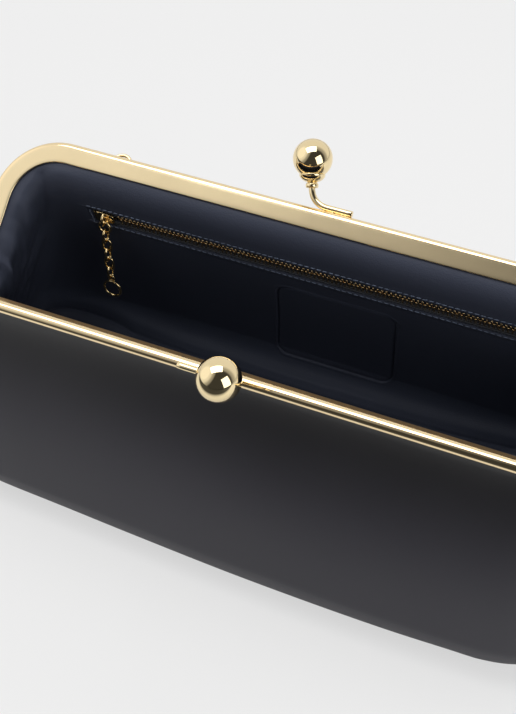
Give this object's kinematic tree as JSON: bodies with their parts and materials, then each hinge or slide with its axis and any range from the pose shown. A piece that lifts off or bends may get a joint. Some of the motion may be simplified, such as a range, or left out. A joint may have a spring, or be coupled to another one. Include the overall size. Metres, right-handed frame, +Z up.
{
  "type": "kiss lock frame purse",
  "caption": "Long soft leather clutch on a hinged metal channel frame with a ball kiss lock, standing open, with a zipped inner pocket and a chain pull.",
  "frame": {"origin": "centre of the base on the surface the purse stands on", "axes": "+X along the purse to its right seen from the front, +Y from the front to the back, +Z up"},
  "size_m": [0.3, 0.149, 0.1398],
  "materials": {
    "pale_gold": "polished pale gold plating",
    "dark_brass": "antique brass, satin",
    "black_leather": "smooth calf leather, satin",
    "navy_lining": "soft lining leather, satin",
    "pocket_cloth": "matt pocketing cloth",
    "zip_tape": "woven tape",
    "grey_board": "felted interlining",
    "paper_cord": "twisted paper packing cord"
  },
  "bodies": {
    "purse_body": {"left_hinge_rivet": "pale_gold", "right_hinge_rivet": "pale_gold", "front_panel": "black_leather", "back_panel": "black_leather", "left_gusset": "black_leather", "right_gusset": "black_leather", "base_panel": "black_leather", "front_interlining": "grey_board", "back_interlining": "grey_board", "left_end_interlining": "grey_board", "right_end_interlining": "grey_board", "base_board": "grey_board", "front_lining": "navy_lining", "back_lining": "navy_lining", "left_gusset_lining": "navy_lining", "right_gusset_lining": "navy_lining", "base_lining": "navy_lining", "pocket_bag": "pocket_cloth"},
    "back_frame_half": {"back_frame": "pale_gold", "back_packing_cord": "paper_cord", "left_strap_loop": "pale_gold", "right_strap_loop": "pale_gold", "back_lock_wire": "pale_gold", "back_lock_collar": "pale_gold", "back_lock_ball": "pale_gold", "back_lock_solder": "pale_gold", "zip_tape_upper": "zip_tape", "zip_tape_lower": "zip_tape", "zip_teeth_upper": "dark_brass", "zip_teeth_lower": "dark_brass", "zip_end_stops": "dark_brass"},
    "front_frame_half": {"front_frame": "pale_gold", "front_packing_cord": "paper_cord", "front_lock_wire": "pale_gold", "front_lock_collar": "pale_gold", "front_lock_ball": "pale_gold", "front_lock_solder": "pale_gold"},
    "slider": {"zip_slider": "dark_brass"},
    "ring": {"pull_ring": "dark_brass"},
    "link_1": {"chain_link_1": "dark_brass"},
    "link_2": {"chain_link_2": "dark_brass"},
    "link_3": {"chain_link_3": "dark_brass"},
    "link_4": {"chain_link_4": "dark_brass"},
    "link_5": {"chain_link_5": "dark_brass"},
    "end_ring": {"pull_end_ring": "dark_brass"}
  },
  "joints": [
    {"name": "back_frame_hinge", "type": "hinge", "parent": "purse_body", "child": "back_frame_half", "pos_m": [0, 0, 0.078], "axis": [1, 0, 0], "range_deg": [0, 51], "deforming": ["back_panel", "back_lining", "pocket_bag"]},
    {"name": "front_frame_hinge", "type": "hinge", "parent": "purse_body", "child": "front_frame_half", "pos_m": [0, 0, 0.078], "axis": [1, 0, 0], "range_deg": [-51, 0], "deforming": ["front_panel", "front_lining", "left_gusset", "right_gusset", "left_gusset_lining", "right_gusset_lining"]},
    {"name": "zip_slide", "type": "slide", "parent": "back_frame_half", "child": "slider", "axis": [1, 0, 0], "range_m": [0, 0.194]},
    {"name": "ring_swing", "type": "hinge", "parent": "slider", "child": "ring", "pos_m": [-0.0988, 0.03881, 0.08809], "axis": [1, 0, 0], "range_deg": [-90, 2]},
    {"name": "link_1_swing", "type": "hinge", "parent": "ring", "child": "link_1", "pos_m": [-0.0988, 0.03881, 0.08229], "axis": [1, 0, 0], "range_deg": [-25, 2]},
    {"name": "link_2_swing", "type": "hinge", "parent": "link_1", "child": "link_2", "pos_m": [-0.0988, 0.03881, 0.07674], "axis": [0, 1, 0], "range_deg": [-20, 20]},
    {"name": "link_3_swing", "type": "hinge", "parent": "link_2", "child": "link_3", "pos_m": [-0.0988, 0.03881, 0.07119], "axis": [1, 0, 0], "range_deg": [-25, 2]},
    {"name": "link_4_swing", "type": "hinge", "parent": "link_3", "child": "link_4", "pos_m": [-0.0988, 0.03881, 0.06564], "axis": [0, 1, 0], "range_deg": [-20, 20]},
    {"name": "link_5_swing", "type": "hinge", "parent": "link_4", "child": "link_5", "pos_m": [-0.0988, 0.03881, 0.06009], "axis": [1, 0, 0], "range_deg": [-25, 2]},
    {"name": "end_ring_swing", "type": "hinge", "parent": "link_5", "child": "end_ring", "pos_m": [-0.0988, 0.03881, 0.05454], "axis": [0, 1, 0], "range_deg": [-25, 25]}
  ],
  "couplings": [
    {"joint": "front_frame_hinge", "follows": "back_frame_hinge", "ratio": -1}
  ]
}
